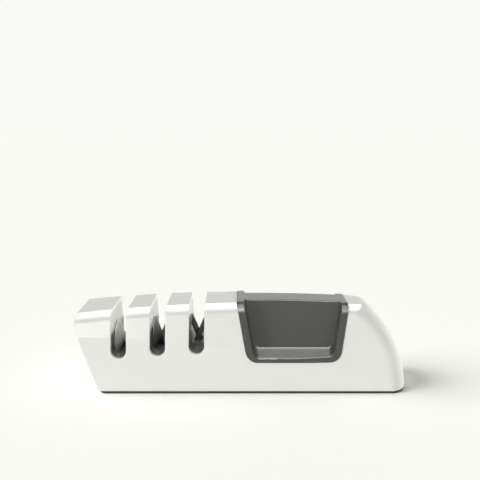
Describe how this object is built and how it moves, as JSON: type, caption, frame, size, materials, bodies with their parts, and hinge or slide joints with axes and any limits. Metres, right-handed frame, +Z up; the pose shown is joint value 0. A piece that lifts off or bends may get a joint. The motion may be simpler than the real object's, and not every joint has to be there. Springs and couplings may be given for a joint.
{
  "type": "knife sharpener",
  "caption": "Pull-through knife sharpener: a long housing with a row of slots holding carbide blades and spinning abrasive wheels, a soft grip saddle and a non-slip base",
  "frame": {"origin": "Middle of the part in plan, on the surface it stands on.", "axes": "+X runs along the housing from its slots to its sloping nose, -Y is the long face seen from the front, +Z is up."},
  "size_m": [0.2344, 0.051, 0.0622],
  "materials": {
    "housing": "gloss white moulded ABS",
    "base_plate": "matt moulded ABS",
    "pad": "fine-ribbed non-slip elastomer",
    "grip_rubber": "soft-touch satin elastomer",
    "core_plastic": "glass-filled nylon",
    "carrier": "satin moulded nylon",
    "carbide": "ground tungsten carbide",
    "diamond_wheel": "diamond grit in dark nickel plate",
    "ceramic_wheel": "fine unglazed alumina",
    "axle_steel": "ground steel pin",
    "washer": "natural acetal",
    "screw_steel": "zinc-plated steel"
  },
  "bodies": {
    "housing": {"body_shell": "housing", "base_plate": "base_plate", "nonslip_mat": "pad", "base_screws": "screw_steel", "grip_core": "core_plastic", "grip_overmould": "grip_rubber", "grip_screws": "screw_steel", "coarse_cartridge": "carrier", "coarse_blade_front": "carbide", "coarse_blade_rear": "carbide", "coarse_clamp": "carrier", "coarse_clamp_screws": "screw_steel", "medium_cartridge": "carrier", "medium_axle": "axle_steel", "medium_washers": "washer", "medium_retainer": "carrier", "fine_cartridge": "carrier", "fine_axle": "axle_steel", "fine_washers": "washer", "fine_retainer": "carrier", "cartridge_screws": "screw_steel"},
    "fine_left_wheel": {"fine_wheel_left": "ceramic_wheel"},
    "fine_right_wheel": {"fine_wheel_right": "ceramic_wheel"},
    "medium_left_wheel": {"medium_wheel_left": "diamond_wheel"},
    "medium_right_wheel": {"medium_wheel_right": "diamond_wheel"}
  },
  "joints": [
    {"name": "fine_left_spin", "type": "hinge", "parent": "housing", "child": "fine_left_wheel", "pos_m": [-0.086, 0, 0.03229], "axis": [1, 0, 0], "continuous": true},
    {"name": "fine_right_spin", "type": "hinge", "parent": "housing", "child": "fine_right_wheel", "pos_m": [-0.086, 0, 0.03229], "axis": [1, 0, 0], "continuous": true},
    {"name": "medium_left_spin", "type": "hinge", "parent": "housing", "child": "medium_left_wheel", "pos_m": [-0.0587, 0, 0.03419], "axis": [1, 0, 0], "continuous": true},
    {"name": "medium_right_spin", "type": "hinge", "parent": "housing", "child": "medium_right_wheel", "pos_m": [-0.0587, 0, 0.03419], "axis": [1, 0, 0], "continuous": true}
  ]
}
